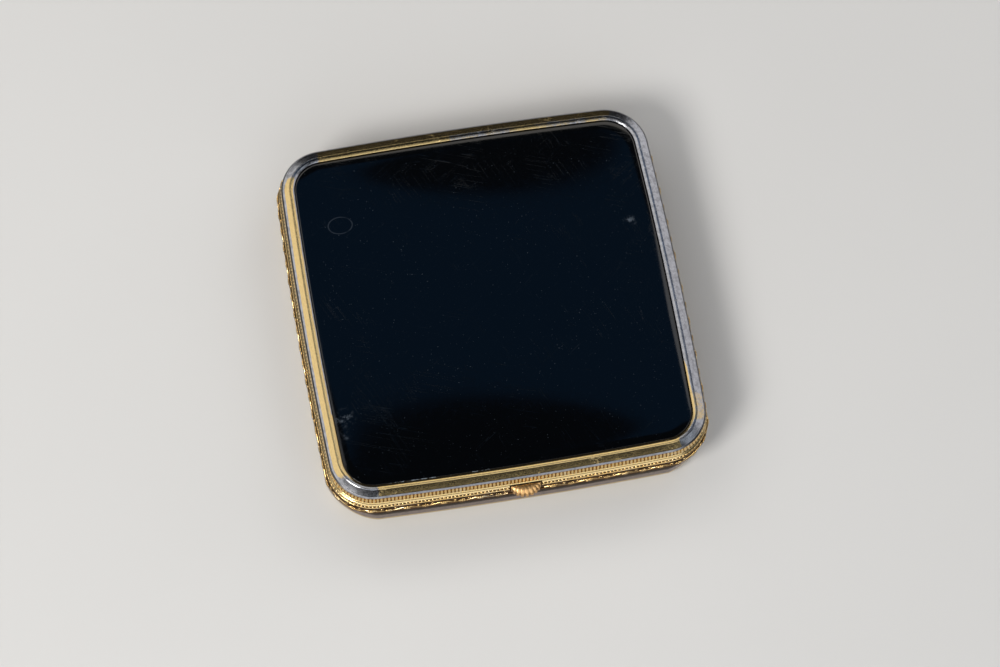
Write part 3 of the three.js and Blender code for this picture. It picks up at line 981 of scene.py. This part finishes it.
def inflate(pad):
    """Swell the pad with air, and move no point further than the fabric gives."""
    frames, most = 20, 0.0045
    start = [vertex.co.copy() for vertex in pad.data.vertices]
    cloth = pad.modifiers.new("cloth", "CLOTH")
    cloth.settings.use_pressure = True
    cloth.settings.uniform_pressure_force = 4.0
    cloth.settings.effector_weights.gravity = 0.0
    for step in range(1, frames + 1):
        bpy.context.scene.frame_set(step)
    apply_modifiers(pad)
    for vertex, was in zip(pad.data.vertices, start):
        move = vertex.co - was
        if move.length > most:
            vertex.co = was + move.normalized() * most
    bpy.context.scene.frame_set(1)


def pile(pad):
    """Small uneven lumps in the velour."""
    normals = [vertex.normal.copy() for vertex in pad.data.vertices]
    for vertex, normal in zip(pad.data.vertices, normals):
        lump = noise.fractal(vertex.co / MM * 0.5, 0.6, 2.0, 4)
        vertex.co += normal * lump * 0.09 * MM


def apply_modifiers(obj):
    """Give the object the mesh that its modifiers make, and drop them."""
    bpy.context.view_layer.update()
    graph = bpy.context.evaluated_depsgraph_get()
    mesh = bpy.data.meshes.new_from_object(obj.evaluated_get(graph))
    obj.modifiers.clear()
    obj.data = mesh


def ribbon(pad):
    """A satin ribbon laid over the puff, lifted in the middle."""
    tree = BVHTree.FromObject(pad, bpy.context.evaluated_depsgraph_get())
    half_length, half_width, thick = 25.0, 4.4, 0.16
    along, across = 60, 10
    top, bottom = [], []
    for i in range(along + 1):
        x = half_length * (2 * i / along - 1)
        heights = []
        for j in range(across + 1):
            y = half_width * (2 * j / across - 1)
            hit = tree.ray_cast(Vector((x, y, 12)) * MM, Vector((0, 0, -1)))[0]
            heights.append(hit.z / MM if hit else 7.0)
        crest = max(heights)
        ripple = 0.05 * math.sin(x * 0.55)
        row = [(x, half_width * (2 * j / across - 1),
                0.5 * (crest + height) + 0.12 + ripple) for j, height in enumerate(heights)]
        bottom.append(row)
        top.append([(x, y, z + thick) for x, y, z in row])
    rings = [lower + upper[::-1] for lower, upper in zip(bottom, top)]
    Shape().rings(rings).piece("ribbon_strap", RIBBON, "base", "ribbon", "puff_ribbon", sharp=50)


# ---------------------------------------------------------------- catch

def shell():
    """The push-piece: a ribbed shell with a toothed edge, standing out of its slot. Its ribs
    fan out from a point behind it."""
    half, depth, back, origin = 2.93, 2.0, -37.35, 2.3
    teeth, per_tooth = 9, 12
    steps = teeth * per_tooth
    radial = 16
    top, under, marks = [], [], []
    for ring in range(radial + 1):
        reach = ring / radial
        upper, lower = [], []
        for step in range(steps + 1):
            angle = math.pi * (1 + step / steps)
            tooth = abs(math.sin(teeth * math.pi * step / steps))
            deep = depth * abs(math.sin(angle))
            edge_x = half * math.cos(angle)
            start_x = edge_x * origin / (origin + deep)
            grow = reach * (1 - 0.24 * (1 - math.sqrt(tooth)) * reach ** 9)
            x = start_x + (edge_x - start_x) * grow
            y = back - deep * grow
            drop = 1.0 * (reach ** 2.2) * (deep / depth) ** 0.6
            rib = (0.045 + 0.14 * reach ** 6) * (tooth - 0.6) * min(1.0, 4 * reach)
            lip = max(0.0, reach - 0.86) / 0.14
            upper.append((x, y, 9.4 - drop + rib - 0.08 * lip ** 2))
            lower.append((x, y, 7.45 + 0.35 * reach ** 2 + 0.03 * lip))
            # Painted shade in the grooves between ribs and teeth, strongest at the toothed edge.
            marks.append((1 - tooth) ** 2 * (0.36 + 0.64 * smooth(reach, 0.75, 0.95)))
        top.append(upper)
        under.append(lower)
    shape = Shape()
    size = steps + 1
    marks = [marks[ring * size + step] for ring in range(radial, -1, -1) for step in range(size)]
    # The underside is darkened with painted shadow beneath the shell.
    shape.rings(under + top[::-1], looped=False, caps=False,
                mark=[0.6] * len(marks) + marks)
    count = 2 * (radial + 1)
    shape.faces.append(tuple(ring * size for ring in range(count)))
    shape.faces.append(tuple(ring * size + steps for ring in reversed(range(count))))
    shape.piece("catch_shell", SATIN, "push", "catch_gilt", "push_piece", sharp=50)


def finish_carried_nodes():
    """Materials for the CAD pieces that are shown as they are."""
    materials = {
        "panel_backing": CARD, "mirror_pad": CARD, "catch_keeper": STEEL, "catch_slide": STEEL,
        "catch_spring": STEEL, "hinge_pin": STEEL, "catch_guide": CASE, "catch_rivet_1": HINGE,
        "catch_rivet_2": HINGE,
    }
    for name, material in materials.items():
        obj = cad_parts[name]
        for slot in obj.material_slots:
            slot.material = material


# ---------------------------------------------------------------- camera, floor and light

def camera():
    """Looks down steeply from the front left, turned a little about its own axis."""
    azimuth, elevation, roll = (math.radians(a) for a in (-16.49, 68.04, 6.55))
    distance, aside, above = 677.2, 1.66, -6.54
    back = Vector((math.sin(azimuth) * math.cos(elevation),
                   -math.cos(azimuth) * math.cos(elevation), math.sin(elevation)))
    right = Vector((math.cos(azimuth), math.sin(azimuth), 0))
    up = back.cross(right)
    right, up = (right * math.cos(roll) + up * math.sin(roll),
                 up * math.cos(roll) - right * math.sin(roll))
    target = Vector((0, 0, 12.2))
    place_at = target + back * distance + right * aside + up * above
    data = bpy.data.cameras.new("camera")
    data.lens = 126.0
    data.sensor_width = 36.0
    data.clip_start = 0.01
    obj = bpy.data.objects.new("camera", data)
    matrix = Matrix((right, up, back)).transposed().to_4x4()
    matrix.translation = place_at * MM
    obj.matrix_world = matrix
    bpy.context.scene.collection.objects.link(obj)
    bpy.context.scene.camera = obj


def softbox(name, azimuth, elevation, distance, width, height, power, colour):
    """An area light that faces the compact from a direction, azimuth turning from +Y to +X."""
    azimuth, elevation = math.radians(azimuth), math.radians(elevation)
    away = Vector((math.sin(azimuth) * math.cos(elevation),
                   math.cos(azimuth) * math.cos(elevation), math.sin(elevation)))
    data = bpy.data.lights.new(name, "AREA")
    data.shape = "RECTANGLE"
    data.size = width
    data.size_y = height
    data.energy = power
    data.color = colour
    obj = bpy.data.objects.new(name, data)
    obj.matrix_world = away.to_track_quat("Z", "Y").to_matrix().to_4x4()
    obj.location = away * distance
    bpy.context.scene.collection.objects.link(obj)


def lights():
    """Large soft boxes for the sides of the bezel, small cards for its crest and corners, a lamp
    for the shadow, and a dim blue card that the panel's middle reflects."""
    softbox("left_box", -56, 46, 0.9, 1.2, 0.5, 2.4, (1.0, 0.97, 0.93))
    softbox("right_box", 68, 32, 0.9, 1.0, 0.56, 1.75, (1.0, 0.97, 0.97))
    softbox("back_box", 17, 47, 1.0, 1.2, 0.34, 1.8, (1.0, 0.95, 0.87))
    softbox("front_box", 180, 33, 0.9, 1.0, 0.76, 3.6, (0.95, 0.97, 1.0))
    softbox("right_crest_card", -33, 66, 1.2, 0.2, 0.3, 0.16, (0.95, 0.97, 1.0))
    softbox("left_crest_card", 52, 59, 1.2, 0.25, 0.25, 0.24, (1.0, 0.97, 0.93))
    softbox("corner_box", 108, 57, 0.9, 0.4, 0.3, 0.3, (0.85, 0.92, 1.0))
    softbox("front_lamp", -125, 42, 1.1, 0.36, 0.36, 9.0, (1.0, 0.97, 0.93))
    softbox("top_card", 16, 67.5, 1.2, 1.1, 0.21, 0.14, (0.08, 0.42, 1.0))
    world = bpy.data.worlds.new("studio")
    world.use_nodes = True
    background = world.node_tree.nodes["Background"]
    background.inputs["Color"].default_value = (0.8, 0.88, 1.0, 1.0)
    background.inputs["Strength"].default_value = 0.022
    bpy.context.scene.world = world


def floor():
    """A wide flat floor that belongs to the stage, not to the compact."""
    half = 1500.0
    corners = [(-half, -half, 0), (half, -half, 0), (half, half, 0), (-half, half, 0)]
    mesh = Shape().add(corners, [(0, 1, 2, 3)]).mesh("floor")
    mesh.materials.append(floor_board())
    obj = bpy.data.objects.new("floor", mesh)
    bpy.context.scene.collection.objects.link(obj)


camera()
lights()
floor()
bpy.context.scene.view_settings.view_transform = "Standard"

lid_bezel()
lid_beads()
panel()
lid_inside()
base_pan()
base_beads()
scroll_band()
hinge()
tray()
powder()
sifter()
ribbon(puff())
shell()
finish_carried_nodes()
